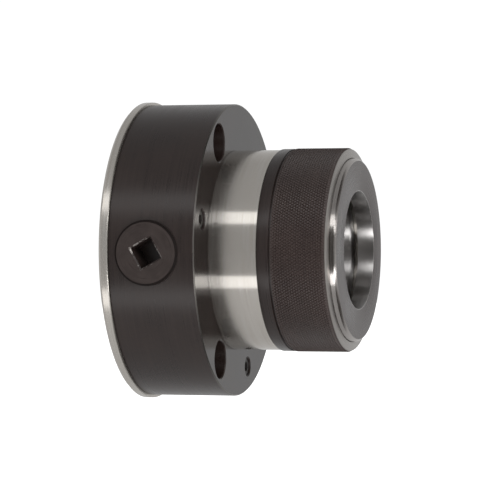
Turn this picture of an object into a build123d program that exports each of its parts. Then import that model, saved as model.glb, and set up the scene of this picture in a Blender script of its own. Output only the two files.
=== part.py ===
from build123d import *
import math
import os

os.makedirs("parts", exist_ok=True)

# Key-operated collet chuck for a lathe spindle.
# The spindle axis is X and the nose points to +X. The rear mounting face is at x = 0.
# All sizes are in millimetres. A name ending in _r is a radius from its own axis,
# and a name ending in _x is a station along the spindle axis.

# ---- driving sizes: the outside ----
body_diameter = 125.0
flange_depth = 37.1
neck_length = 20.8
cap_length = 30.0
face_proud = 2.8
flange_width = 19.8
cover_thickness = 4.0
cover_overhang = 1.25
register_diameter = 95.0
register_depth = 2.6
rim_break = 0.5
root_relief_depth = 0.15
root_relief_width = 0.6
cover_break = 1.1
edge_break = 0.3
inner_break = 0.5
bore_break = 0.8

# ---- driving sizes: walls and steps, from the neck inwards ----
neck_shoulder = 2.7
neck_wall = 7.5
hub_step = 1.45
hub_wall = 3.95
ring_wall = 3.9
tail_wall = 6.0
cap_over_neck = 0.4
cap_lip = 3.1
lip_length = 7.1
lip_relief = 1.2
mouth_wall = 6.16
mouth_over_lip = 1.3
taper_angle = 10.0
mouth_gap = 3.4
sleeve_travel = 3.0
pilot_step = 0.8
pilot_length = 1.7
neck_end_break = 0.4

# ---- driving sizes: gears, bearing and keys ----
pinion_bore_diameter = 27.3
pinion_wall = 2.95
pinion_proud = 1.0
pinion_break = 0.9
seal_below_rim = 3.2
socket_break = 0.6
module = 44.0 / 30.0
pinion_teeth = 10
gear_face = 8.4
pressure_angle = 25.0
square_size = 9.6
square_depth = 12.0
square_turn = 28.7
needle_diameter = 2.0
needle_length = 7.0
needle_count = 30
washer_thickness = 1.0
spigot_depth = 1.6
thread_pitch = 2.0

# ---- driving sizes: bolts and screws ----
bolt_hole_r = 4.5
counterbore_r = 8.0
counterbore_depth = 20.0
lock_thread_r = 4.0
lock_dog_r = 2.75
cover_screw_r = 2.5
dowel_r = 2.5
counterbore_break = 0.4
lock_thread_break = 0.5
cover_screw_head_r = 5.2
cover_screw_length = 12.5
cover_screw_socket = 3.0
cover_screw_recess = 0.3
dowel_length = 11.5
dowel_recess = 0.5
lock_socket = 4.0
lock_socket_depth = 4.0
lock_screw_recess = 0.8
lock_dog_past_axis = 5.6
key_length = 16.0
key_width = 8.0
key_screw_r = 2.0
key_screw_head_r = 3.9
key_screw_spacing = 8.5
key_screw_length = 11.0
key_screw_socket = 2.5
key_depth_in_neck = 4.0
key_depth_in_sleeve = 3.0
collet_pin_r = 2.5
collet_pin_length = 11.0

# ---- clearances ----
running_gap = 0.04
thread_gap = 0.08
axial_gap = 0.03
backlash = 0.14
seat_gap = 0.1
hole_end_gap = 0.5
head_gap = 0.3
lock_thread_clear = 1.05

# ---- radii that follow ----
body_r = body_diameter / 2
neck_r = body_r - flange_width
neck_thread_r = neck_r - neck_shoulder
neck_bore_r = neck_thread_r - neck_wall
sleeve_r = neck_bore_r - running_gap
hub_bore_r = neck_bore_r - hub_step
ring_hub_r = hub_bore_r - running_gap
ring_thread_r = ring_hub_r - ring_wall
tail_r = ring_thread_r - thread_gap
bar_bore_r = tail_r - tail_wall
hub_outer_r = hub_bore_r + hub_wall
cap_r = neck_r + cap_over_neck
cap_bore_r = neck_thread_r + thread_gap
mouth_r = sleeve_r - mouth_wall
nose_bore_r = mouth_r - mouth_over_lip
bolt_circle_r = (neck_r + body_r) / 2
cover_r = body_r + cover_overhang
register_r = register_diameter / 2
pilot_r = neck_thread_r - pilot_step
key_top_r = neck_bore_r + key_depth_in_neck
key_bottom_r = neck_bore_r - key_depth_in_sleeve
sleeve_seal_section_r = 0.85
sleeve_seal_groove_r = sleeve_r - 2 * sleeve_seal_section_r

# ---- gear geometry: a bevel pair whose cone point is where the two axes cross ----
gear_inner_r = hub_outer_r + 0.6
ring_teeth = 6 * round((gear_inner_r + gear_face) / (3 * module))
gear_outer_r = module * ring_teeth / 2
pinion_pitch_r = module * pinion_teeth / 2
addendum = 0.8 * module
dedendum = 1.0 * module
pocket_r = gear_outer_r + 1.5
gear_bore_r = pinion_pitch_r + addendum + 0.7

# ---- pinion sizes and stations along its own axis, measured from the spindle axis ----
pinion_bore_r = pinion_bore_diameter / 2
pinion_head_r = pinion_bore_r - running_gap
pinion_bore_floor = pocket_r + 0.5
pinion_head_floor = pinion_bore_floor + 0.4
pinion_bore_rim = math.sqrt(body_r**2 - pinion_bore_r**2)
pinion_face = body_r + pinion_proud
journal_bore_r = 3.5
groove_middle = math.sqrt(bolt_circle_r**2 - pinion_bore_r**2)
groove_half_width = lock_dog_r + 0.25
groove_floor_r = pinion_bore_r - lock_dog_r - 0.15
seal_section_r = 0.8
seal_station = pinion_bore_rim - seal_below_rim
seal_groove_r = pinion_head_r - 2 * seal_section_r

# ---- stations along the spindle axis ----
cover_front_x = cover_thickness
flange_front_x = cover_front_x + flange_depth
neck_front_x = flange_front_x + neck_length
cap_back_x = neck_front_x + seat_gap
cap_front_x = cap_back_x + cap_length
face_front_x = cap_front_x + face_proud
lip_back_x = face_front_x - lip_length
neck_end_x = lip_back_x - lip_relief
cap_lip_x = cap_front_x - cap_lip
mouth_x = lip_back_x - mouth_gap
pinion_x = cover_front_x + pinion_wall + pinion_bore_r
spigot_front_x = cover_front_x + spigot_depth
washer_front_x = spigot_front_x + washer_thickness
needle_x = washer_front_x + axial_gap + needle_diameter / 2
ring_back_x = needle_x + needle_diameter / 2 + axial_gap
gear_cavity_x = pinion_x - pinion_pitch_r * gear_inner_r / gear_outer_r + addendum + 0.4
ring_shoulder_x = gear_cavity_x - 2.7
hub_end_x = pinion_x + 5.4
sleeve_bore_x = hub_end_x + 0.5
sleeve_shoulder_x = sleeve_bore_x + sleeve_travel + 0.5
tail_x = spigot_front_x + sleeve_travel + 0.4
key_x = flange_front_x + 11.0
collet_pin_x = neck_front_x
sleeve_seal_x = mouth_x - 7.0

# ---- nose pieces ----
face_ring_r = neck_thread_r - 1.2
face_flange_r = neck_thread_r - 0.1
face_break = 0.9
lip_break = 0.3
cap_bevel = 0.7
band_length = 4.9
band_groove_width = 0.8
band_groove_depth = 0.8
wire_size = 1.2
wire_x = neck_end_x - 0.2 - wire_size / 2
wire_groove_r = cap_bore_r + 1.1

# ---- lock screws: the thread stops short of the pinion's bore, and the dog passes its axis ----
lock_head_x = flange_front_x - lock_screw_recess
thread_side = pinion_bore_r - lock_thread_r
lock_thread_end_x = pinion_x + math.sqrt(pinion_bore_r**2 - thread_side**2) + lock_thread_clear
lock_thread_length = lock_head_x - lock_thread_end_x
lock_screw_length = lock_head_x - pinion_x + lock_dog_past_axis

# ---- needle bearing ----
bearing_middle_r = (gear_inner_r + gear_outer_r) / 2
bearing_half_width = needle_length / 2 + 1.1

# ---- angles round the spindle axis, from +Y towards +Z ----
pinion_angles = [180, 300, 60]
lock_offset = math.degrees(math.asin(pinion_bore_r / bolt_circle_r))
key_angle = 0
collet_pin_angle = 90

BASE = (Align.CENTER, Align.CENTER, Align.MIN)
TOP = (Align.CENTER, Align.CENTER, Align.MAX)


def radial_plane(x, angle):
    """A plane at the spindle axis whose normal points out along a radius."""
    outward = (0, math.cos(math.radians(angle)), math.sin(math.radians(angle)))
    return Plane(origin=(x, 0, 0), x_dir=(1, 0, 0), z_dir=outward)


def face_plane(x):
    """A plane across the spindle axis that faces the nose."""
    return Plane.YZ.offset(x)


def rear_plane(x):
    """A plane across the spindle axis that faces the spindle."""
    return Plane(origin=(x, 0, 0), x_dir=(0, 1, 0), z_dir=(-1, 0, 0))


def inward_plane(x, angle, radius):
    """A plane at a radius whose normal points back at the spindle axis."""
    outward = radial_plane(x, angle).offset(radius)
    return Plane(origin=outward.origin, x_dir=(1, 0, 0), z_dir=-outward.z_dir)


def save(piece, name):
    """Name a finished piece and write it."""
    piece.part.label = name
    export_step(piece.part, f"parts/{name}.step")


# ---- body: the flange, its hub and the neck in one piece of steel ----

def male_thread(start, end, radius):
    """Outline points of a row of thread crests between two stations."""
    depth = 0.5 * thread_pitch
    points = []
    for turn in range(int((end - start) / thread_pitch)):
        crest = start + turn * thread_pitch
        points.append((crest, radius))
        points.append((crest + 0.125 * thread_pitch, radius))
        points.append((crest + 0.5 * thread_pitch, radius - depth))
        points.append((crest + 0.625 * thread_pitch, radius - depth))
    points.append((end, radius))
    return points


thread_relief = 2.0
thread_start_x = neck_front_x + thread_relief + 0.4 * thread_pitch
thread_end_x = neck_end_x - pilot_length

with BuildPart() as body:
    with BuildSketch(Plane.XY):
        with BuildLine():
            Polyline(
                (cover_front_x, pocket_r),
                (cover_front_x, body_r - edge_break),
                (cover_front_x + edge_break, body_r),
                (flange_front_x - rim_break, body_r),
                (flange_front_x, body_r - rim_break),
                (flange_front_x, neck_r - root_relief_depth),
                (flange_front_x + root_relief_width, neck_r - root_relief_depth),
                (flange_front_x + root_relief_width + root_relief_depth, neck_r),
                (neck_front_x - edge_break, neck_r),
                (neck_front_x, neck_r - edge_break),
                (neck_front_x, pilot_r),
                (neck_front_x + thread_relief, pilot_r),
                *male_thread(thread_start_x, thread_end_x, neck_thread_r),
                (thread_end_x, pilot_r),
                (neck_end_x, pilot_r),
                (neck_end_x, neck_bore_r + neck_end_break),
                (neck_end_x - neck_end_break, neck_bore_r),
                (sleeve_bore_x, neck_bore_r),
                (sleeve_bore_x, hub_bore_r),
                (gear_cavity_x, hub_bore_r),
                (gear_cavity_x, pocket_r),
                close=True,
            )
        make_face()
    revolve(axis=Axis.X)
    # Counterbored holes for the bolts that hold the chuck on its backplate.
    with Locations(face_plane(flange_front_x)):
        with PolarLocations(bolt_circle_r, 3):
            CounterBoreHole(bolt_hole_r, counterbore_r, counterbore_depth, flange_depth + 1)
            CounterSinkHole(counterbore_r, counterbore_r + counterbore_break, 1.0, 90)
    # Radial bores for the pinions, their gears and their inner journals.
    for angle in pinion_angles:
        with Locations(radial_plane(pinion_x, angle).offset(body_r)):
            Hole(pinion_bore_r, body_r - pinion_bore_floor)
            Hole(gear_bore_r, body_r - hub_outer_r)
            Hole(journal_bore_r, body_r - hub_bore_r + 1)
    # Tapped holes beside each pinion for its lock screw.
    lock_dog_gap = 0.9
    lock_tap_depth = lock_screw_recess + lock_thread_length + head_gap
    with Locations(face_plane(flange_front_x)):
        with PolarLocations(bolt_circle_r, 3, start_angle=pinion_angles[0] - lock_offset):
            CounterSinkHole(lock_thread_r, lock_thread_r + lock_thread_break, lock_tap_depth, 90)
            Hole(lock_dog_r + seat_gap, lock_screw_recess + lock_screw_length + lock_dog_gap)
    # Tapped and reamed holes at the back for the cover's screws and dowels.
    with Locations(rear_plane(cover_front_x)):
        with PolarLocations(bolt_circle_r, 6, start_angle=30):
            Hole(cover_screw_r, cover_screw_length - cover_thickness + 4 * hole_end_gap)
        with PolarLocations(bolt_circle_r, 2, start_angle=-15, angular_range=300):
            Hole(dowel_r, dowel_length - cover_thickness + hole_end_gap)
    # Keyway in the neck's bore, and the tapped holes under the key.
    key_hole_depth = key_screw_length - key_depth_in_neck
    with BuildSketch(radial_plane(key_x, key_angle).offset(neck_bore_r - 1)):
        Rectangle(key_length, key_width)
    extrude(amount=key_top_r - neck_bore_r + 1, mode=Mode.SUBTRACT)
    with Locations(radial_plane(key_x, key_angle).offset(key_top_r)):
        with GridLocations(key_screw_spacing, 1, 2, 1):
            Cylinder(key_screw_r, key_hole_depth, align=BASE, mode=Mode.SUBTRACT)
save(body, "body")


# ---- rear cover: the ground ring that the chuck sits on, closing the gear space ----

with BuildPart() as rear_cover:
    with BuildSketch(Plane.XY):
        with BuildLine():
            Polyline(
                (register_depth, bar_bore_r + bore_break),
                (register_depth, register_r),
                (edge_break, register_r),
                (0, register_r + edge_break),
                (0, cover_r - cover_break),
                (cover_break, cover_r),
                (cover_front_x - edge_break, cover_r),
                (cover_front_x, cover_r - edge_break),
                (cover_front_x, pocket_r - running_gap),
                (spigot_front_x, pocket_r - running_gap),
                (spigot_front_x, bar_bore_r + bore_break),
                close=True,
            )
        make_face()
    revolve(axis=Axis.X)
    with Locations(rear_plane(0)):
        with PolarLocations(bolt_circle_r, 3):
            Hole(bolt_hole_r, cover_thickness + 1)
        with PolarLocations(bolt_circle_r, 6, start_angle=30):
            CounterSinkHole(cover_screw_r + 0.25, cover_screw_head_r, cover_thickness + 1, 90)
        with PolarLocations(bolt_circle_r, 2, start_angle=-15, angular_range=300):
            Hole(dowel_r, cover_thickness + 1)
save(rear_cover, "rear_cover")


# ---- fasteners ----

def countersunk_screw(shank_r, head_r, length, socket):
    """A countersunk screw on +Z with its flat head at z = 0 and its shank below."""
    with BuildPart() as screw:
        with BuildSketch(Plane.XZ):
            with BuildLine():
                Polyline(
                    (0, 0),
                    (head_r, 0),
                    (shank_r, shank_r - head_r),
                    (shank_r, 0.4 - length),
                    (shank_r - 0.4, -length),
                    (0, -length),
                    close=True,
                )
            make_face()
        revolve(axis=Axis.Z)
        with BuildSketch(Plane.XY):
            RegularPolygon(socket / 2, 6, major_radius=False)
        extrude(amount=-0.55 * head_r, mode=Mode.SUBTRACT)
    return screw.part


cover_screw = countersunk_screw(
    cover_screw_r,
    cover_screw_head_r - head_gap,
    cover_screw_length,
    cover_screw_socket,
)
with BuildPart() as cover_screws:
    with Locations(rear_plane(cover_screw_recess)):
        with PolarLocations(bolt_circle_r, 6, start_angle=30):
            add(cover_screw)
save(cover_screws, "cover_screws")

with BuildPart() as cover_dowels:
    with Locations(rear_plane(dowel_recess)):
        with PolarLocations(bolt_circle_r, 2, start_angle=-15, angular_range=300):
            Cylinder(dowel_r, dowel_length - dowel_recess, align=TOP)
save(cover_dowels, "cover_dowels")

# A lock screw has a hexagon socket and a long dog that rides in the pinion's groove.
with BuildPart() as lock_screws:
    with Locations(face_plane(lock_head_x)):
        with PolarLocations(bolt_circle_r, 3, start_angle=pinion_angles[0] - lock_offset):
            Cylinder(lock_thread_r, lock_thread_length, align=TOP)
            Cylinder(lock_dog_r, lock_screw_length, align=TOP)
    with BuildSketch(face_plane(lock_head_x)):
        with PolarLocations(bolt_circle_r, 3, start_angle=pinion_angles[0] - lock_offset):
            RegularPolygon(lock_socket / 2, 6, major_radius=False)
    extrude(amount=-lock_socket_depth, mode=Mode.SUBTRACT)
save(lock_screws, "pinion_lock_screws")


# ---- thrust bearing between the rear cover and the bevel ring ----

with BuildPart() as rear_thrust_washer:
    with BuildSketch(face_plane(spigot_front_x)):
        Circle(pocket_r - inner_break)
        Circle(bearing_middle_r - bearing_half_width - 0.7, mode=Mode.SUBTRACT)
    extrude(amount=washer_thickness)
save(rear_thrust_washer, "rear_thrust_washer")

cage_thickness = 0.8 * needle_diameter
with BuildPart() as needle_cage:
    with BuildSketch(face_plane(needle_x - cage_thickness / 2)):
        Circle(bearing_middle_r + bearing_half_width)
        Circle(bearing_middle_r - bearing_half_width, mode=Mode.SUBTRACT)
        with PolarLocations(bearing_middle_r, needle_count):
            Rectangle(needle_length + 0.1, needle_diameter + 0.1, mode=Mode.SUBTRACT)
    extrude(amount=cage_thickness)
save(needle_cage, "needle_cage")

with BuildPart() as thrust_needles:
    for number in range(needle_count):
        needle_angle = number * 360 / needle_count
        with Locations(radial_plane(needle_x, needle_angle).offset(bearing_middle_r)):
            Cylinder(needle_diameter / 2, needle_length)
save(thrust_needles, "thrust_needles")

with BuildPart() as front_thrust_washer:
    with BuildSketch(face_plane(ring_shoulder_x + seat_gap)):
        Circle(hub_outer_r + 0.2)
        Circle(ring_hub_r + 0.3, mode=Mode.SUBTRACT)
    extrude(amount=gear_cavity_x - ring_shoulder_x - seat_gap)
save(front_thrust_washer, "front_thrust_washer")


# ---- bevel ring: the crown gear that the pinions turn, threaded for the sleeve ----

def cone_x(radius, height):
    """Station of a point on the ring's teeth, for a height above the pitch cone at the rim."""
    return pinion_x + (height - pinion_pitch_r) * radius / gear_outer_r


def ring_gap_outline(radius):
    """The gap between two ring teeth at a radius, as points along X and across."""
    scale = radius / gear_outer_r
    slope = math.tan(math.radians(pressure_angle))
    half_gap = (math.pi * module / 4 + backlash / 2) * scale
    low = -dedendum * scale
    high = (addendum + 1.0) * scale
    middle = -pinion_pitch_r * scale
    return [
        (middle + low, half_gap + low * slope),
        (middle + high, half_gap + high * slope),
        (middle + high, -half_gap - high * slope),
        (middle + low, -half_gap - low * slope),
    ]


with BuildPart() as ring_gap:
    for radius in (gear_inner_r - 0.8, gear_outer_r + 1.2):
        with BuildSketch(radial_plane(pinion_x, 180 / ring_teeth).offset(radius)):
            with BuildLine():
                Polyline(*ring_gap_outline(radius), close=True)
            make_face()
    loft(ruled=True)

rim_past_teeth = 0.3
gap_turns = [Location((0, 0, 0), (turn * 360 / ring_teeth, 0, 0)) for turn in range(ring_teeth)]
with BuildPart() as bevel_ring:
    with BuildSketch(Plane.XY):
        with BuildLine():
            Polyline(
                (ring_back_x, ring_thread_r + inner_break),
                (ring_back_x, gear_outer_r + rim_past_teeth),
                (cone_x(gear_outer_r + rim_past_teeth, addendum), gear_outer_r + rim_past_teeth),
                (cone_x(gear_inner_r, addendum), gear_inner_r),
                (ring_shoulder_x, gear_inner_r),
                (ring_shoulder_x, ring_hub_r),
                (hub_end_x - inner_break, ring_hub_r),
                (hub_end_x, ring_hub_r - inner_break),
                (hub_end_x, ring_thread_r + inner_break),
                (hub_end_x - inner_break, ring_thread_r),
                (ring_back_x + inner_break, ring_thread_r),
                close=True,
            )
        make_face()
    revolve(axis=Axis.X)
    with Locations(*gap_turns):
        add(ring_gap.part, mode=Mode.SUBTRACT)
save(bevel_ring, "bevel_ring")


# ---- pinions: each stands on +Z here, with z measured from the spindle axis ----

def involute(angle):
    """Involute function of an angle in radians."""
    return math.tan(angle) - angle


def pinion_tooth_half_angle(radius):
    """Half the angle that a tooth fills at a radius on the outer pitch scale."""
    pressure = math.radians(pressure_angle)
    base_r = pinion_pitch_r * math.cos(pressure)
    local = math.acos(min(1.0, base_r / radius))
    play = backlash / (2 * pinion_pitch_r)
    half = math.pi / (2 * pinion_teeth) - play / 2 + involute(pressure) - involute(local)
    return math.degrees(half)


def pinion_outline(station):
    """Corner points of all the pinion's teeth at a station along its axis."""
    scale = station / gear_outer_r
    base_r = pinion_pitch_r * math.cos(math.radians(pressure_angle))
    tip_r = pinion_pitch_r + addendum
    flank = [pinion_pitch_r - dedendum, base_r]
    flank += [base_r + share * (tip_r - base_r) for share in (0.15, 0.4, 0.7, 1.0)]
    points = []
    for tooth in range(pinion_teeth):
        middle = (tooth + 0.5) * 360 / pinion_teeth
        rising = [(radius, middle - pinion_tooth_half_angle(radius)) for radius in flank]
        falling = [(radius, middle + pinion_tooth_half_angle(radius)) for radius in reversed(flank)]
        for radius, angle in rising + falling:
            x = scale * radius * math.cos(math.radians(angle))
            y = scale * radius * math.sin(math.radians(angle))
            points.append((x, y))
    return points


def shaped_pinion():
    """One pinion with its square socket, grooves, bevel teeth and inner journal."""
    gear_start = gear_inner_r + 0.6
    gear_end = gear_outer_r - 0.2
    boss_r = 0.78 * pinion_pitch_r
    seal_half = seal_section_r + seat_gap
    with BuildPart() as shape:
        with BuildSketch(Plane.XZ):
            with BuildLine():
                Polyline(
                    (0, gear_end - 0.5),
                    (boss_r, gear_end - 0.5),
                    (boss_r, pinion_head_floor),
                    (pinion_head_r - inner_break, pinion_head_floor),
                    (pinion_head_r, pinion_head_floor + inner_break),
                    (pinion_head_r, groove_middle - groove_half_width),
                    (groove_floor_r, groove_middle - groove_half_width),
                    (groove_floor_r, groove_middle + groove_half_width),
                    (pinion_head_r, groove_middle + groove_half_width),
                    (pinion_head_r, seal_station - seal_half),
                    (seal_groove_r, seal_station - seal_half),
                    (seal_groove_r, seal_station + seal_half),
                    (pinion_head_r, seal_station + seal_half),
                    (pinion_head_r, pinion_face - pinion_break),
                    (pinion_head_r - pinion_break, pinion_face),
                    (0, pinion_face),
                    close=True,
                )
            make_face()
        revolve(axis=Axis.Z)
        for station in (gear_start, gear_end):
            with BuildSketch(Plane.XY.offset(station)):
                with BuildLine():
                    Polyline(*pinion_outline(station), close=True)
                make_face()
        loft(ruled=True)
        with BuildSketch(Plane.XY.offset(ring_hub_r + 1.0)):
            Circle(journal_bore_r - running_gap)
        extrude(amount=gear_start - ring_hub_r - 0.5)
        with BuildSketch(Plane.XY.offset(pinion_face)):
            Rectangle(square_size, square_size, rotation=square_turn)
        extrude(amount=-square_depth, mode=Mode.SUBTRACT)
        with BuildSketch(Plane.XY.offset(pinion_face)):
            socket_mouth = square_size + 2 * socket_break
            Rectangle(socket_mouth, socket_mouth, rotation=square_turn)
        extrude(amount=-socket_break, taper=45, mode=Mode.SUBTRACT)
    return shape.part


pinion_shape = shaped_pinion()
for number, angle in enumerate(pinion_angles, start=1):
    with BuildPart() as pinion:
        with Locations(radial_plane(pinion_x, angle)):
            add(pinion_shape)
    save(pinion, f"pinion_{number}")
    with BuildPart() as pinion_seal:
        with Locations(radial_plane(pinion_x, angle).offset(seal_station)):
            Torus(seal_groove_r + seal_section_r, seal_section_r)
    save(pinion_seal, f"pinion_seal_{number}")


# ---- closing sleeve: slides in the neck and squeezes the collet ----

taper_length = (mouth_r - bar_bore_r) / math.tan(math.radians(taper_angle))
taper_back_x = mouth_x - inner_break - taper_length
sleeve_seal_half = sleeve_seal_section_r + seat_gap

with BuildPart() as closing_sleeve:
    with BuildSketch(Plane.XY):
        with BuildLine():
            Polyline(
                (tail_x, bar_bore_r + bore_break),
                (tail_x, tail_r - inner_break),
                (tail_x + inner_break, tail_r),
                (sleeve_shoulder_x, tail_r),
                (sleeve_shoulder_x, sleeve_r - inner_break),
                (sleeve_shoulder_x + inner_break, sleeve_r),
                (sleeve_seal_x - sleeve_seal_half, sleeve_r),
                (sleeve_seal_x - sleeve_seal_half, sleeve_seal_groove_r),
                (sleeve_seal_x + sleeve_seal_half, sleeve_seal_groove_r),
                (sleeve_seal_x + sleeve_seal_half, sleeve_r),
                (mouth_x - inner_break, sleeve_r),
                (mouth_x, sleeve_r - inner_break),
                (mouth_x, mouth_r + inner_break),
                (mouth_x - inner_break, mouth_r),
                (taper_back_x, bar_bore_r),
                (tail_x + bore_break, bar_bore_r),
                close=True,
            )
        make_face()
    revolve(axis=Axis.X)
    # The keyway is open at the back so that the sleeve can go in from the front.
    keyway_front_x = key_x + key_length / 2 + sleeve_travel + hole_end_gap
    with BuildSketch(radial_plane(sleeve_shoulder_x, key_angle).offset(key_bottom_r - 0.2)):
        with Locations(((keyway_front_x - sleeve_shoulder_x) / 2, 0)):
            Rectangle(keyway_front_x - sleeve_shoulder_x, key_width + 2 * axial_gap)
    extrude(amount=sleeve_r, mode=Mode.SUBTRACT)
    with Locations(radial_plane(collet_pin_x, collet_pin_angle).offset(sleeve_r + 1)):
        Hole(collet_pin_r, sleeve_r - bar_bore_r + 4)
save(closing_sleeve, "closing_sleeve")

with BuildPart() as sleeve_seal:
    with Locations(face_plane(sleeve_seal_x)):
        Torus(sleeve_seal_groove_r + sleeve_seal_section_r, sleeve_seal_section_r)
save(sleeve_seal, "sleeve_seal")

# The pin stands in the taper, where it keeps a collet from turning.
with BuildPart() as collet_pin:
    with Locations(radial_plane(collet_pin_x, collet_pin_angle).offset(sleeve_r - 0.4)):
        Cylinder(collet_pin_r, collet_pin_length, align=TOP)
save(collet_pin, "collet_pin")

with BuildPart() as sleeve_key:
    with BuildSketch(radial_plane(key_x, key_angle).offset(key_bottom_r)):
        Rectangle(key_length, key_width)
    extrude(amount=key_top_r - key_bottom_r)
    chamfer(sleeve_key.faces().sort_by(Axis.Y)[0].edges(), 0.4)
    with Locations(inward_plane(key_x, key_angle, key_bottom_r)):
        with GridLocations(key_screw_spacing, 1, 2, 1):
            CounterSinkHole(key_screw_r + 0.1, key_screw_head_r, key_top_r - key_bottom_r + 1, 90)
save(sleeve_key, "sleeve_key")

key_screw = countersunk_screw(
    key_screw_r,
    key_screw_head_r - head_gap,
    key_screw_length,
    key_screw_socket,
)
with BuildPart() as key_screws:
    with Locations(inward_plane(key_x, key_angle, key_bottom_r + 0.3)):
        with GridLocations(key_screw_spacing, 1, 2, 1):
            add(key_screw)
save(key_screws, "key_screws")


# ---- nose: the hardened face ring, the knurled cap over it, and the wire ring between ----

with BuildPart() as face_ring:
    with BuildSketch(Plane.XY):
        with BuildLine():
            Polyline(
                (neck_end_x, neck_bore_r),
                (neck_end_x, face_flange_r),
                (cap_lip_x, face_flange_r),
                (cap_lip_x, face_ring_r),
                (face_front_x - face_break, face_ring_r),
                (face_front_x, face_ring_r - face_break),
                (face_front_x, nose_bore_r + lip_break),
                (face_front_x - lip_break, nose_bore_r),
                (lip_back_x + lip_break, nose_bore_r),
                (lip_back_x, nose_bore_r + lip_break),
                (lip_back_x, neck_bore_r),
                close=True,
            )
        make_face()
    revolve(axis=Axis.X)
save(face_ring, "face_ring")

with BuildPart() as nose_cap:
    with BuildSketch(Plane.XY):
        with BuildLine():
            Polyline(
                (cap_back_x, cap_bore_r + 0.6),
                (cap_back_x, cap_r - 0.4),
                (cap_back_x + 0.4, cap_r),
                (cap_back_x + band_length, cap_r),
                (cap_back_x + band_length, cap_r - band_groove_depth),
                (cap_back_x + band_length + band_groove_width, cap_r - band_groove_depth),
                (cap_back_x + band_length + band_groove_width, cap_r),
                (cap_front_x - cap_bevel, cap_r),
                (cap_front_x, face_ring_r + 0.4),
                (cap_front_x, face_ring_r + running_gap),
                (cap_lip_x, face_ring_r + running_gap),
                (cap_lip_x, cap_bore_r),
                (wire_x + wire_size / 2, cap_bore_r),
                (wire_x + wire_size / 2, wire_groove_r),
                (wire_x - wire_size / 2, wire_groove_r),
                (wire_x - wire_size / 2, cap_bore_r),
                (cap_back_x + 0.6, cap_bore_r),
                close=True,
            )
        make_face()
    revolve(axis=Axis.X)
save(nose_cap, "nose_cap")

# An open ring of square wire, sprung into the cap behind the face ring's flange.
with BuildPart() as wire_ring:
    with BuildSketch(face_plane(wire_x - wire_size / 2)):
        Circle(wire_groove_r)
        Circle(face_flange_r - 0.4, mode=Mode.SUBTRACT)
        with Locations((0, -face_flange_r)):
            Rectangle(9.0, 9.0, mode=Mode.SUBTRACT)
    extrude(amount=wire_size)
save(wire_ring, "cap_wire_ring")
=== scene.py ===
import math

import bmesh
import bpy
from mathutils import Matrix, Vector


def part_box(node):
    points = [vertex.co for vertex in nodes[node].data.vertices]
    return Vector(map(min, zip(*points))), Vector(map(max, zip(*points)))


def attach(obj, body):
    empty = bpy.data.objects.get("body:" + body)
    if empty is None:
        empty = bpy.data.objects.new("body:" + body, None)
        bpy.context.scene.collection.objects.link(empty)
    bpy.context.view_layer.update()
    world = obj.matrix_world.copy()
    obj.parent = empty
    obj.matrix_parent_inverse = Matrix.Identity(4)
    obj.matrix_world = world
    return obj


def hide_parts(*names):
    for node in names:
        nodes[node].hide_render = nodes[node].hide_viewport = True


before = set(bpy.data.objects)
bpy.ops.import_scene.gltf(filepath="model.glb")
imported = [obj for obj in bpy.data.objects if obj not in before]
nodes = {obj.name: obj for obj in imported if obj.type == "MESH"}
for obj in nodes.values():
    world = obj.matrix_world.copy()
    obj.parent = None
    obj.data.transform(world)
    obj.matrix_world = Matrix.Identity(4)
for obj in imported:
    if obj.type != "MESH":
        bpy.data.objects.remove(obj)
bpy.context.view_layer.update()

# Looks of a key-operated collet chuck, built round its CAD frame.
# Lengths are in metres. The spindle axis is X and the nose points to +X.
mm = 0.001


# ---- places read from the frame ----

def radius_of(node):
    """Outer radius of a node that is round about the spindle axis."""
    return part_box(node)[1].y


def middle_of(node):
    """Station along the spindle axis of the middle of a node."""
    low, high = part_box(node)
    return (low.x + high.x) / 2


body_r = radius_of("body")
cap_low, cap_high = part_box("nose_cap")
cap_back, cap_front, cap_r = cap_low.x, cap_high.x, cap_high.y
disc_front, disc_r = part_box("face_ring")[1].x, radius_of("face_ring") - 1.1 * mm
pinion_x = middle_of("pinion_1")
pinion_face = -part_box("pinion_1")[0].y
wire_x = middle_of("cap_wire_ring")
flange_front = cap_back - 20.9 * mm
cap_lip_depth = 3.1 * mm
thread_r = disc_r + 1.2 * mm
nose_bore_r = disc_r - 13.8 * mm
bore_limit_r = 33.4 * mm

# Angle at which each pinion stands round the spindle axis, in degrees.
pinion_angles = {1: 180, 2: 300, 3: 60}


# ---- camera, light and floor ----

view_turn = math.radians(16.66)
view_lift = math.radians(1.1)
camera_distance = 20.45 * body_r
camera_shift = 0.7126 * body_r
lens, sensor_width = 212.5, 36
nearest, farthest = 0.05, 50


def add_camera():
    """A long lens, turned towards the nose and lifted a little about the spindle axis."""
    right = Vector((math.cos(view_turn), math.sin(view_turn), 0))
    back = Vector((math.sin(view_turn), -math.cos(view_turn), 0))
    data = bpy.data.cameras.new("camera")
    data.lens = lens
    data.sensor_width = sensor_width
    data.clip_start, data.clip_end = nearest, farthest
    camera = bpy.data.objects.new("camera", data)
    lift = Matrix.Rotation(-view_lift, 3, "X")
    camera.location = lift @ (right * camera_shift + back * camera_distance)
    camera.rotation_mode = "QUATERNION"
    camera.rotation_quaternion = lift.to_quaternion() @ (-back).to_track_quat("-Z", "Y")
    bpy.context.scene.collection.objects.link(camera)
    bpy.context.scene.camera = camera


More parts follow.
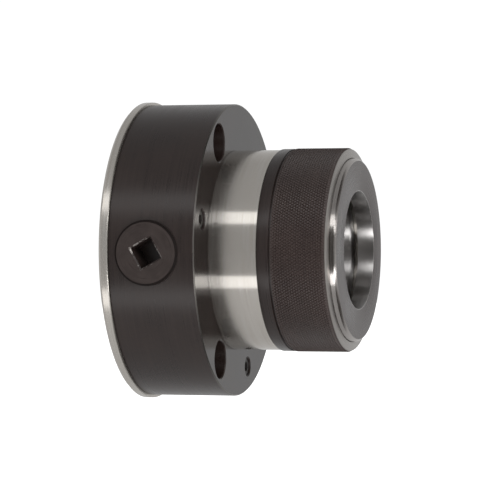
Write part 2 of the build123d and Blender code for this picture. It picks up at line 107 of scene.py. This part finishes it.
def add_strip(name, height_angle, strength, middle_x=0.0, length=2.4):
    """A long narrow softbox along X, on the camera's side, at an angle above the axis."""
    distance, width = 0.7, 0.17
    angle = math.radians(height_angle) + view_lift
    data = bpy.data.lights.new(name, "AREA")
    data.shape = "RECTANGLE"
    data.size, data.size_y = width, length
    data.energy = strength * math.pi * length * width
    light = bpy.data.objects.new(name, data)
    away = Vector((0, -math.cos(angle), math.sin(angle)))
    light.location = away * distance + Vector((middle_x, 0, 0))
    light.rotation_mode = "QUATERNION"
    light.rotation_quaternion = away.to_track_quat("Z", "X")
    light.visible_camera = False
    bpy.context.scene.collection.objects.link(light)


def add_world():
    """White surround for the camera, and a soft white tent with dark sides in the reflections."""
    dark_side = (0.05, 0.045, 0.042, 1)
    surround_strength = 1.05
    world = bpy.data.worlds.new("studio")
    bpy.context.scene.world = world
    world.use_nodes = True
    tree = world.node_tree
    tree.nodes.clear()
    coordinate = tree.nodes.new("ShaderNodeTexCoord")
    parts = tree.nodes.new("ShaderNodeSeparateXYZ")
    tree.links.new(coordinate.outputs["Generated"], parts.inputs[0])

    def math_node(operation, a, b=None):
        node = tree.nodes.new("ShaderNodeMath")
        node.operation = operation
        for socket, value in zip(node.inputs, (a, b)):
            if isinstance(value, (int, float)):
                socket.default_value = value
            elif value is not None:
                tree.links.new(value, socket)
        return node.outputs[0]

    x, y, z = parts.outputs
    turn = math_node("SUBTRACT", math_node("ARCTAN2", z, math_node("MULTIPLY", y, -1.0)), view_lift)
    share = math_node("ADD", math_node("DIVIDE", turn, 2 * math.pi), 0.5)
    ramp = tree.nodes.new("ShaderNodeValToRGB")
    tree.links.new(share, ramp.inputs[0])
    # From behind, past the floor's side, the camera's side and the top, to behind again.
    stops = [(-180, 0.60), (-120, 0.50), (-80, 0.55), (-46, 0.60), (-28, 0.46), (0, 0.42),
             (28, 0.44), (46, 0.42), (60, 0.40), (120, 0.40), (180, 0.60)]
    while len(ramp.color_ramp.elements) < len(stops):
        ramp.color_ramp.elements.new(0.5)
    for element, (angle, value) in zip(ramp.color_ramp.elements, stops):
        element.position = (angle + 180) / 360
        element.color = (value, value, value, 1)

    def step(value, low, high):
        node = tree.nodes.new("ShaderNodeMapRange")
        node.interpolation_type = "SMOOTHSTEP"
        tree.links.new(value, node.inputs["Value"])
        node.inputs["From Min"].default_value = low
        node.inputs["From Max"].default_value = high
        return node.outputs[0]

    # A dark window between the strips, from the camera's place round to the nose's side.
    height = math_node("ABSOLUTE", math_node("MULTIPLY", turn, 180 / math.pi))
    window = math_node("SUBTRACT", 1.0, step(height, 24, 32))
    window = math_node("MULTIPLY", window, step(x, -0.22, -0.12))
    # And a dark ceiling and ground on the nose's side, from beyond the strips to behind the chuck.
    ceiling = math_node("SUBTRACT", 1.0, step(height, 110, 135))
    ceiling = math_node("MULTIPLY", ceiling, step(height, 48, 56))
    ceiling = math_node("MULTIPLY", ceiling, step(x, 0.08, 0.2))
    window = math_node("MAXIMUM", window, ceiling)
    window = math_node("MULTIPLY", window, math_node("SUBTRACT", 1.0, step(x, 0.75, 0.9)))
    mix = tree.nodes.new("ShaderNodeMix")
    mix.data_type = "RGBA"
    tree.links.new(window, mix.inputs["Factor"])
    colours = [socket for socket in mix.inputs if socket.type == "RGBA"]
    tree.links.new(ramp.outputs[0], colours[0])
    colours[1].default_value = dark_side
    tent = tree.nodes.new("ShaderNodeBackground")
    tree.links.new([out for out in mix.outputs if out.type == "RGBA"][0], tent.inputs["Color"])
    white = tree.nodes.new("ShaderNodeBackground")
    white.inputs["Color"].default_value = (1, 1, 1, 1)
    white.inputs["Strength"].default_value = surround_strength
    path = tree.nodes.new("ShaderNodeLightPath")
    choose = tree.nodes.new("ShaderNodeMixShader")
    tree.links.new(path.outputs["Is Camera Ray"], choose.inputs[0])
    tree.links.new(tent.outputs[0], choose.inputs[1])
    tree.links.new(white.outputs[0], choose.inputs[2])
    output = tree.nodes.new("ShaderNodeOutputWorld")
    tree.links.new(choose.outputs[0], output.inputs["Surface"])


def add_floor():
    """A pale round floor below the chuck, with a painted glow that grows further out so that it turns
    white.
    """
    height, floor_r, rings, segments = -0.46, 12.0, 40, 96
    mesh = bmesh.new()
    centre = mesh.verts.new((0, 0, height))
    before = None
    for ring in range(1, rings + 1):
        r = floor_r * (ring / rings) ** 2
        turns = [2 * math.pi * k / segments for k in range(segments)]
        now = [mesh.verts.new((r * math.cos(turn), r * math.sin(turn), height)) for turn in turns]
        for k in range(segments):
            after = (k + 1) % segments
            if before is None:
                mesh.faces.new((centre, now[k], now[after]))
            else:
                mesh.faces.new((before[k], now[k], now[after], before[after]))
        before = now
    data = bpy.data.meshes.new("floor")
    mesh.to_mesh(data)
    mesh.free()
    floor = bpy.data.objects.new("floor", data)
    bpy.context.scene.collection.objects.link(floor)
    floor.visible_glossy = False
    paint = Paint("pale_floor_painted_glow")
    x, y = paint.place[:2]
    squares = paint.math("ADD", paint.math("MULTIPLY", x, x), paint.math("MULTIPLY", y, y))
    out = paint.math("SQRT", squares)
    # Painted glow: the floor gives off light of its own, weak near the chuck and strong further out.
    glow = paint.smooth(out, 0.8, 3.0, 0.2, 1.1)
    paint.set("Base Color", (0.78, 0.78, 0.77, 1))
    paint.set("Roughness", 0.9)
    paint.set("Specular IOR Level", 0.1)
    paint.set("Emission Color", (1, 1, 1, 1))
    paint.link(glow, "Emission Strength")
    data.materials.append(paint.material)


# ---- materials ----

class Paint:
    """A node material with one principled shader, and short calls for the nodes that feed it."""

    def __init__(self, name):
        self.material = bpy.data.materials.new(name)
        self.material.use_nodes = True
        self.tree = self.material.node_tree
        self.shader = self.tree.nodes["Principled BSDF"]
        coordinate = self.tree.nodes.new("ShaderNodeTexCoord")
        self.point = coordinate.outputs["Object"]
        parts = self.tree.nodes.new("ShaderNodeSeparateXYZ")
        self.tree.links.new(self.point, parts.inputs[0])
        self.place = parts.outputs

    def put(self, socket, value):
        """Give a socket a value or link an output to it."""
        if isinstance(value, bpy.types.NodeSocket):
            self.tree.links.new(value, socket)
        else:
            socket.default_value = value

    def set(self, name, value):
        self.shader.inputs[name].default_value = value

    def link(self, output, name):
        self.tree.links.new(output, self.shader.inputs[name])

    def math(self, operation, a, b=0.0):
        node = self.tree.nodes.new("ShaderNodeMath")
        node.operation = operation
        self.put(node.inputs[0], a)
        self.put(node.inputs[1], b)
        return node.outputs[0]

    def smooth(self, value, low, high, at_low=0.0, at_high=1.0):
        """A soft step of a value between two limits."""
        node = self.tree.nodes.new("ShaderNodeMapRange")
        node.interpolation_type = "SMOOTHSTEP"
        self.put(node.inputs["Value"], value)
        self.put(node.inputs["From Min"], low)
        self.put(node.inputs["From Max"], high)
        self.put(node.inputs["To Min"], at_low)
        self.put(node.inputs["To Max"], at_high)
        return node.outputs[0]

    def mix(self, factor, a, b):
        """Between two numbers or outputs of numbers."""
        node = self.tree.nodes.new("ShaderNodeMix")
        self.put(node.inputs["Factor"], factor)
        self.put(node.inputs["A"], a)
        self.put(node.inputs["B"], b)
        return node.outputs["Result"]

    def blend(self, factor, a, b):
        """Between two colours."""
        node = self.tree.nodes.new("ShaderNodeMix")
        node.data_type = "RGBA"
        self.put(node.inputs["Factor"], factor)
        for socket, value in (("A", a), ("B", b)):
            colour = value if isinstance(value, bpy.types.NodeSocket) else (*value, 1)
            self.put([s for s in node.inputs if s.name == socket and s.type == "RGBA"][0], colour)
        return [s for s in node.outputs if s.type == "RGBA"][0]

    def vector(self, x, y, z):
        node = self.tree.nodes.new("ShaderNodeCombineXYZ")
        for socket, value in zip(node.inputs, (x, y, z)):
            self.put(socket, value)
        return node.outputs[0]

    def noise(self, vector, scale, detail=3.0, rough=0.5):
        node = self.tree.nodes.new("ShaderNodeTexNoise")
        self.put(node.inputs["Vector"], vector)
        node.inputs["Scale"].default_value = scale
        node.inputs["Detail"].default_value = detail
        node.inputs["Roughness"].default_value = rough
        return node.outputs["Fac"]

    def around_x(self):
        """Distance from the spindle axis, and the angle round it."""
        y, z = self.place[1:]
        squares = self.math("ADD", self.math("MULTIPLY", y, y), self.math("MULTIPLY", z, z))
        return self.math("SQRT", squares), self.math("ARCTAN2", z, y)

    def lathe_lines(self, per_mm, wander=1.2):
        """Marks that run round the spindle axis, on cylinders and faces alike."""
        r, angle = self.around_x()
        scale = per_mm / mm
        lengthwise = self.math("MULTIPLY", self.place[0], scale)
        across = self.math("MULTIPLY", r, scale)
        around = self.math("MULTIPLY", angle, wander)
        return self.noise(self.vector(lengthwise, across, around), 1.0, 4.0, 0.6)

    def bump(self, height, distance, strength=1.0, before=None):
        node = self.tree.nodes.new("ShaderNodeBump")
        node.inputs["Strength"].default_value = strength
        node.inputs["Distance"].default_value = distance
        self.put(node.inputs["Height"], height)
        if before is not None:
            self.put(node.inputs["Normal"], before)
        return node.outputs[0]

    def turned_marks(self, lines, strength=1.0):
        """Relief of the cutting tool's lines, with finer ones over them."""
        fine = self.lathe_lines(fine_lines, 2.0)
        coarse = self.bump(lines, 0.008 * mm, 0.5 * strength)
        self.link(self.bump(fine, 0.006 * mm, 0.6 * strength, coarse), "Normal")

    def brushed(self, amount):
        """Stretch highlights across marks that run round the spindle axis."""
        self.set("Anisotropic", amount)
        self.set("Anisotropic Rotation", 0.25)
        tangent = self.tree.nodes.new("ShaderNodeTangent")
        tangent.direction_type = "RADIAL"
        tangent.axis = "X"
        self.link(tangent.outputs[0], "Tangent")


black = (0.022, 0.0135, 0.0120)
black_worn = (0.040, 0.026, 0.0225)
black_speck = (0.06, 0.05, 0.045)
bright = (0.66, 0.635, 0.60)
bright_dull = (0.56, 0.52, 0.47)
polish = (0.55, 0.535, 0.525)
polish_rim = (0.50, 0.47, 0.45)
rim_dull, rim_clean = (0.14, 0.13, 0.12), (0.20, 0.19, 0.18)
bevel_dull, bevel_clean = (0.34, 0.32, 0.30), (0.42, 0.40, 0.38)
pinion_dark, pinion_worn = (0.025, 0.0165, 0.0145), (0.042, 0.030, 0.027)
chip_dark, chip_bright = (0.035, 0.026, 0.024), (0.62, 0.58, 0.55)
gear_dull, gear_clean = (0.42, 0.40, 0.38), (0.5, 0.48, 0.46)
screw_dark, screw_worn = (0.02, 0.018, 0.017), (0.04, 0.035, 0.032)
bearing_dull, bearing_clean = (0.62, 0.62, 0.62), (0.7, 0.7, 0.7)
bronze_dull, bronze_clean = (0.55, 0.34, 0.14), (0.62, 0.42, 0.2)
rubber_dark, rubber_worn = (0.012, 0.012, 0.012), (0.02, 0.02, 0.02)

# How many machining lines there are in a millimetre.
coarse_lines, middling_lines, fine_lines = 2.2, 3.0, 9.0


def black_oxide(name, stretch=0.6, low_rough=0.24, high_rough=0.33, index=1.5, lift=1.0):
    """Blackened steel, with machining lines, uneven tone and fine specks. Lift makes it paler."""
    paint = Paint(name)
    lines = paint.lathe_lines(coarse_lines)
    cloud = paint.noise(paint.point, 45.0, 4.0, 0.6)
    speck = paint.noise(paint.point, 2600.0, 2.0, 0.6)
    tone = paint.math("ADD", paint.math("MULTIPLY", lines, 0.55), paint.math("MULTIPLY", cloud, 0.45))
    low, high = ([part * lift for part in colour] for colour in (black, black_worn))
    colour = paint.blend(paint.smooth(tone, 0.3, 0.7), low, high)
    specks = paint.smooth(speck, 0.66, 0.78, 0.0, 0.25)
    paint.link(paint.blend(specks, colour, black_speck), "Base Color")
    uneven = paint.smooth(cloud, 0.3, 0.7, 0.0, 0.06)
    marked = paint.smooth(lines, 0.25, 0.75, low_rough, high_rough)
    paint.link(paint.math("ADD", marked, uneven), "Roughness")
    paint.set("IOR", index)
    paint.turned_marks(lines, 0.6)
    if stretch:
        paint.brushed(stretch)
    return paint.material


def ground_steel(name, dull, clean, stretch, low_rough, high_rough):
    """Bare ground steel, with grinding lines round the axis."""
    paint = Paint(name)
    lines = paint.lathe_lines(coarse_lines)
    cloud = paint.noise(paint.point, 30.0, 3.0, 0.5)
    tone = paint.math("ADD", paint.math("MULTIPLY", lines, 0.7), paint.math("MULTIPLY", cloud, 0.3))
    paint.link(paint.blend(paint.smooth(tone, 0.25, 0.75), dull, clean), "Base Color")
    uneven = paint.smooth(cloud, 0.3, 0.7, 0.0, 0.04)
    marked = paint.smooth(lines, 0.25, 0.75, low_rough, high_rough)
    paint.link(paint.math("ADD", marked, uneven), "Roughness")
    paint.set("Metallic", 0.9)
    paint.turned_marks(lines)
    paint.brushed(stretch)
    return paint.material


def plain_steel(name, colour, worn, roughness, metallic=1.0, brushing=0.0, marks=0.3):
    """Machined metal or rubber with fine marks and a slightly uneven tone."""
    paint = Paint(name)
    lines = paint.lathe_lines(middling_lines)
    cloud = paint.noise(paint.point, 220.0, 4.0, 0.6)
    paint.link(paint.blend(paint.smooth(cloud, 0.3, 0.7), colour, worn), "Base Color")
    paint.link(paint.smooth(lines, 0.25, 0.75, roughness * 0.8, roughness * 1.25), "Roughness")
    paint.set("Metallic", metallic)
    paint.link(paint.bump(lines, 0.004 * mm, marks), "Normal")
    if brushing:
        paint.brushed(brushing)
    return paint.material


def worn_edge(name):
    """Dark steel with the bright chips that a key leaves round its socket."""
    paint = Paint(name)
    chips = paint.smooth(paint.noise(paint.point, 330.0, 3.0, 0.6), 0.50, 0.60)
    scratches = paint.noise(paint.point, 1400.0, 3.0, 0.6)
    paint.link(paint.blend(chips, chip_dark, chip_bright), "Base Color")
    paint.link(paint.mix(chips, 0.0, 0.9), "Metallic")
    paint.link(paint.smooth(scratches, 0.3, 0.7, 0.25, 0.42), "Roughness")
    paint.link(paint.bump(scratches, 0.02 * mm, 0.5), "Normal")
    return paint.material


def pinion_steel(number):
    """Hardened steel of a pinion, with marks that run round the pinion's own axis."""
    paint = Paint(f"hardened_pinion_{number}")
    x, y, z = paint.place
    turn = math.radians(pinion_angles[number])
    along = paint.math("SUBTRACT", x, pinion_x)
    upward = paint.math("MULTIPLY", z, math.cos(turn))
    side = paint.math("SUBTRACT", upward, paint.math("MULTIPLY", y, math.sin(turn)))
    squares = paint.math("ADD", paint.math("MULTIPLY", along, along), paint.math("MULTIPLY", side, side))
    rings = paint.math("MULTIPLY", paint.math("SQRT", squares), 2.6 / mm)
    wander = paint.math("MULTIPLY", paint.math("ARCTAN2", side, along), 0.7)
    lines = paint.noise(paint.vector(rings, wander, 0.0), 1.0, 4.0, 0.6)
    cloud = paint.noise(paint.point, 160.0, 4.0, 0.6)
    tone = paint.math("ADD", paint.math("MULTIPLY", lines, 0.5), paint.math("MULTIPLY", cloud, 0.5))
    paint.link(paint.blend(paint.smooth(tone, 0.35, 0.65), pinion_dark, pinion_worn), "Base Color")
    paint.link(paint.smooth(lines, 0.25, 0.75, 0.26, 0.42), "Roughness")
    paint.link(paint.bump(lines, 0.006 * mm, 0.5), "Normal")
    return paint.material


# ---- the nose cap, with its knurl cut as real diamonds ----

class Lathe:
    """A mesh built ring by ring round the spindle axis."""

    def __init__(self, segments):
        self.mesh = bmesh.new()
        self.segments = segments
        self.material = 0

    def point(self, x, r, share):
        """A vertex at a share of a full turn round the axis."""
        angle = 2 * math.pi * share
        return self.mesh.verts.new((x, r * math.cos(angle), r * math.sin(angle)))

    def ring(self, x, r, segments=None):
        count = segments or self.segments
        return [self.point(x, r, k / count) for k in range(count)]

    def face(self, points, smooth=True):
        face = self.mesh.faces.new(points)
        face.smooth = smooth
        face.material_index = self.material

    def skin(self, a, b):
        """Faces between two rings, of which the second may have a whole share of the first's points."""
        step = len(a) // len(b)
        if step == 1:
            for k in range(len(a)):
                after = (k + 1) % len(a)
                self.face((a[k], a[after], b[after], b[k]))
            return
        for k in range(len(b)):
            first = k * step
            points = [a[(first + n) % len(a)] for n in range(step + 1)]
            half = step // 2
            for n in range(step):
                corner = b[k] if n < half else b[(k + 1) % len(b)]
                self.face((points[n], points[n + 1], corner))
            self.face((points[half], b[(k + 1) % len(b)], b[k]))

    def profile(self, stations, segments=None, before=None):
        """Rings at stations (x, r), each joined to the one before it. Returns the last."""
        for x, r in stations:
            now = self.ring(x, r, segments)
            if before is not None:
                self.skin(before, now)
            before = now
        return before

    def finish(self, name):
        bmesh.ops.recalc_face_normals(self.mesh, faces=self.mesh.faces)
        data = bpy.data.meshes.new(name)
        self.mesh.to_mesh(data)
        self.mesh.free()
        data.set_sharp_from_angle(angle=math.radians(25))
        piece = bpy.data.objects.new(name, data)
        bpy.context.scene.collection.objects.link(piece)
        return piece


def knurl(lathe, back_ring, back_x, front_x, valley_r, peak_r, rows, flat_top):
    """Diamonds between two rings, one peak at every second crossing. Returns the front ring."""
    count = lathe.segments
    grid = [back_ring]
    for row in range(1, rows + 1):
        x = back_x + (front_x - back_x) * row / rows
        inner = row < rows
        grid.append([None if inner and (row + k) % 2 else lathe.point(x, valley_r, k / count)
                     for k in range(count)])
    for row in range(1, rows):
        x = back_x + (front_x - back_x) * row / rows
        half = (front_x - back_x) / rows * flat_top
        for k in range(count):
            if (row + k) % 2 == 0:
                continue
            corners = [grid[row + 1][k], grid[row][(k + 1) % count], grid[row - 1][k], grid[row][k - 1]]
            top = [lathe.point(x + half, peak_r, k / count),
                   lathe.point(x, peak_r, (k + flat_top) / count),
                   lathe.point(x - half, peak_r, k / count),
                   lathe.point(x, peak_r, (k - flat_top) / count)]
            lathe.face(top, smooth=False)
            for n in range(4):
                after = (n + 1) % 4
                lathe.face((corners[n], corners[after], top[after], top[n]), smooth=False)
    for row, beside in ((0, 1), (rows, rows - 1)):
        for k in range(count):
            if grid[beside][k] is not None:
                lathe.face((grid[row][k - 1], grid[row][k], grid[beside][k]), smooth=False)
                lathe.face((grid[row][k], grid[row][(k + 1) % count], grid[beside][k]), smooth=False)
    return grid[rows]


def make_cap():
    """The cap: a plain band, a groove, the knurl, and a bare bevel round the nose ring."""
    knurl_starts, knurl_rows, flat_top = 212, 22, 0.3
    band_length, groove_width, groove_depth = 4.9 * mm, 0.8 * mm, 0.8 * mm
    thread_pitch, thread_depth = 2.0 * mm, 0.9 * mm
    wire_half, wire_depth = 0.6 * mm, 1.1 * mm
    seat_gap, thread_gap = 0.04 * mm, 0.08 * mm
    lathe = Lathe(2 * knurl_starts)
    inner_segments = lathe.segments // 4
    peak_r, valley_r = cap_r + 0.16 * mm, cap_r - 0.28 * mm
    band_front = cap_back + band_length
    knurl_back = band_front + groove_width
    knurl_front = cap_front - 1.05 * mm
    groove_r = cap_r - groove_depth
    bore_r = thread_r + thread_gap
    back_inner = lathe.ring(cap_back, bore_r + 0.6 * mm, inner_segments)
    back_outer = lathe.ring(cap_back, cap_r - 0.4 * mm)
    lathe.skin(back_outer, back_inner)
    ring = lathe.profile([
        (cap_back + 0.12 * mm, cap_r - 0.12 * mm),
        (cap_back + 0.4 * mm, cap_r),
        (band_front - 0.15 * mm, cap_r),
        (band_front, cap_r - 0.15 * mm),
        (band_front, groove_r + 0.15 * mm),
        (band_front + 0.15 * mm, groove_r),
        (knurl_back - 0.15 * mm, groove_r),
        (knurl_back, groove_r + 0.15 * mm),
        (knurl_back, valley_r),
    ], before=back_outer)
    lathe.material = 2
    ring = knurl(lathe, ring, knurl_back, knurl_front, valley_r, peak_r, knurl_rows, flat_top)
    ring = lathe.profile([(cap_front - 0.85 * mm, cap_r - 0.3 * mm)], before=ring)
    lathe.material = 1
    ring = lathe.profile([
        (cap_front - 0.75 * mm, cap_r - 0.4 * mm),
        (cap_front - 0.60 * mm, cap_r - 0.75 * mm),
        (cap_front - 0.04 * mm, disc_r + 0.55 * mm),
        (cap_front, disc_r + 0.40 * mm),
        (cap_front, disc_r + 0.30 * mm),
    ], before=ring)
    lathe.material = 0
    lip_back = cap_front - cap_lip_depth
    thread_front, thread_back = wire_x - 1.6 * mm, cap_back + 2.4 * mm
    inner = [
        (cap_front - 0.25 * mm, disc_r + seat_gap),
        (lip_back, disc_r + seat_gap),
        (lip_back, bore_r),
        (wire_x + wire_half, bore_r),
        (wire_x + wire_half, bore_r + wire_depth),
        (wire_x - wire_half, bore_r + wire_depth),
        (wire_x - wire_half, bore_r),
    ]
    turns = int((thread_front - thread_back) / thread_pitch)
    for turn in range(turns):
        start = thread_front - turn * thread_pitch
        for along, depth in ((0.0, 0), (0.38, thread_depth), (0.5, thread_depth), (0.88, 0)):
            inner.append((start - along * thread_pitch, bore_r + depth))
    inner.append((cap_back + 0.6 * mm, bore_r))
    ring = lathe.profile(inner, inner_segments, ring)
    lathe.skin(ring, back_inner)
    return lathe.finish("knurled_cap")


# ---- the nose ring and the body, whose faces take different finishes ----

def make_nose_ring():
    """The hardened ring at the nose: polished rim and bore, and a blackened flat face."""
    lathe = Lathe(192)
    low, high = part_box("face_ring")
    flange_r, bore_r = high.y, nose_bore_r
    flange_front_x = cap_front - cap_lip_depth
    lip_back = disc_front - 7.1 * mm
    inner_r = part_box("closing_sleeve")[1].y + 0.04 * mm
    first = lathe.ring(low.x, inner_r)
    lathe.material = 2
    ring = lathe.profile([
        (low.x, flange_r - 0.1 * mm),
        (low.x + 0.1 * mm, flange_r),
        (flange_front_x - 0.05 * mm, flange_r),
        (flange_front_x, flange_r - 0.05 * mm),
        (flange_front_x, disc_r),
        (disc_front - 1.05 * mm, disc_r),
        (disc_front - 0.90 * mm, disc_r - 0.06 * mm),
        (disc_front - 0.12 * mm, disc_r - 0.80 * mm),
        (disc_front, disc_r - 0.98 * mm),
    ], before=first)
    lathe.material = 1
    ring = lathe.profile([(disc_front, bore_r + 0.30 * mm)], before=ring)
    lathe.material = 0
    ring = lathe.profile([
        (disc_front - 0.08 * mm, bore_r + 0.10 * mm),
        (disc_front - 0.30 * mm, bore_r),
        (lip_back + 0.30 * mm, bore_r),
        (lip_back + 0.08 * mm, bore_r + 0.08 * mm),
        (lip_back, bore_r + 0.30 * mm),
    ], before=ring)
    lathe.material = 1
    ring = lathe.profile([(lip_back, inner_r)], before=ring)
    lathe.skin(ring, first)
    return lathe.finish("nose_ring")


def body_finish(centre, normal):
    """Which finish a face of the body has: 0 black, 1 front face, 2 ground bare, 3 rim's edge."""
    edge = 0.5 * mm
    r = math.hypot(centre.y, centre.z)
    if centre.x > flange_front + 0.01 * mm or r < bore_limit_r:
        return 2
    if normal.x > 0.95 and centre.x > flange_front - 0.05 * mm:
        return 1
    if centre.x > flange_front - edge and r > body_r - edge:
        return 3
    return 0


def pinion_finish(number):
    """Which finish a face of a pinion has: 0 its steel, 1 the socket's worn edge, 2 its rim, painted
    very dark as shade round the head.
    """
    turn = math.radians(pinion_angles[number])
    out = Vector((0, math.cos(turn), math.sin(turn)))
    centre_line = Vector((pinion_x, 0, 0))
    edge_depth, socket_limit_r = 1.0 * mm, 9.0 * mm

    def choose(centre, normal):
        height = centre.dot(out)
        r = (centre - centre_line - out * height).length
        if height < pinion_face - edge_depth or not 0.3 < normal.dot(out) < 0.95:
            return 0
        return 1 if r < socket_limit_r else 2

    return choose


def finished_copy(node, name, materials, finish_of):
    """A copy of a CAD piece, with a finish chosen for each of its faces."""
    data = nodes[node].data.copy()
    data.name = name
    data.materials.clear()
    for material in materials:
        data.materials.append(material)
    for polygon in data.polygons:
        polygon.material_index = finish_of(polygon.center, polygon.normal)
    piece = bpy.data.objects.new(name, data)
    bpy.context.scene.collection.objects.link(piece)
    return piece


def stand_in(piece, node, body):
    """Show a piece in place of a CAD node, on the same body."""
    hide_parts(node)
    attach(piece, body)


# ---- the scene ----

add_camera()
scene = bpy.context.scene
scene.view_settings.view_transform = "Standard"
scene.view_settings.look = "None"
add_world()
add_strip("strip_above", 36, 1.0)
add_strip("strip_below", -36, 1.0)
add_strip("nose_strip_above", 36, 5.0, middle_x=0.8, length=1.1)
add_strip("nose_strip_below", -36, 5.0, middle_x=0.8, length=1.1)
add_floor()

black_steel = black_oxide("blackened_steel", lift=0.7)
black_face = black_oxide("blackened_front_face", 0.0, 0.10, 0.16, 1.58, 0.5)
black_nose = black_oxide("blackened_nose_face", 0.0, 0.22, 0.28, 1.8)
black_knurl = black_oxide("blackened_knurl", 0.0, 0.46, 0.55, 1.62, 1.4)
neck_steel = ground_steel("ground_neck", bright_dull, bright, 0.88, 0.12, 0.17)
rim_steel = ground_steel("bare_rim", rim_dull, rim_clean, 0.5, 0.22, 0.30)
bevel_steel = ground_steel("ground_bevel", bevel_dull, bevel_clean, 0.6, 0.24, 0.34)
cover_steel = ground_steel("ground_cover", bright_dull, bright, 0.6, 0.18, 0.26)
polished = plain_steel("polished_bore", polish, polish, 0.35, brushing=1.0, marks=0.08)
polished_rim = plain_steel("polished_rim", polish_rim, polish_rim, 0.20, brushing=1.0)
chip_steel = worn_edge("worn_socket_edge")
# Pinion rims: blackened steel made very dark. This is painted shade for the shadow in the gap round each
# pinion head.
painted_shade_pinion_rim = black_oxide("pinion_rim_with_painted_shade", 0.0, 0.5, 0.6, 1.25, 0.3)
gear_steel = plain_steel("cut_gear_steel", gear_dull, gear_clean, 0.3)
screw_steel = plain_steel("black_screws", screw_dark, screw_worn, 0.4, metallic=0.0)
bearing = plain_steel("bearing_steel", bearing_dull, bearing_clean, 0.14)
bronze = plain_steel("machined_bronze", bronze_dull, bronze_clean, 0.28)
rubber = plain_steel("seal_rubber", rubber_dark, rubber_worn, 0.6, metallic=0.0)

finish = {
    "body": black_steel, "face_ring": black_nose, "nose_cap": black_steel, "rear_cover": cover_steel,
    "closing_sleeve": polished, "bevel_ring": gear_steel, "sleeve_key": gear_steel,
    "cover_screws": screw_steel, "pinion_lock_screws": screw_steel, "key_screws": screw_steel,
    "cap_wire_ring": screw_steel, "cover_dowels": bearing, "rear_thrust_washer": bearing,
    "thrust_needles": bearing, "collet_pin": bearing, "needle_cage": bronze,
    "front_thrust_washer": bronze, "sleeve_seal": rubber,
}
for number in pinion_angles:
    finish[f"pinion_{number}"] = pinion_steel(number)
    finish[f"pinion_seal_{number}"] = rubber
for name, material in finish.items():
    nodes[name].material_slots[0].material = material

body_materials = (black_steel, black_face, neck_steel, rim_steel)
body = finished_copy("body", "two_tone_body", body_materials, body_finish)
stand_in(body, "body", "chuck_frame")
for number in pinion_angles:
    node = f"pinion_{number}"
    materials = (finish[node], chip_steel, painted_shade_pinion_rim)
    pinion = finished_copy(node, f"turned_{node}", materials, pinion_finish(number))
    stand_in(pinion, node, node)
cap = make_cap()
for material in (black_steel, bevel_steel, black_knurl):
    cap.data.materials.append(material)
stand_in(cap, "nose_cap", "nose_cap")
nose_ring = make_nose_ring()
for material in (polished, black_nose, polished_rim):
    nose_ring.data.materials.append(material)
stand_in(nose_ring, "face_ring", "face_ring")
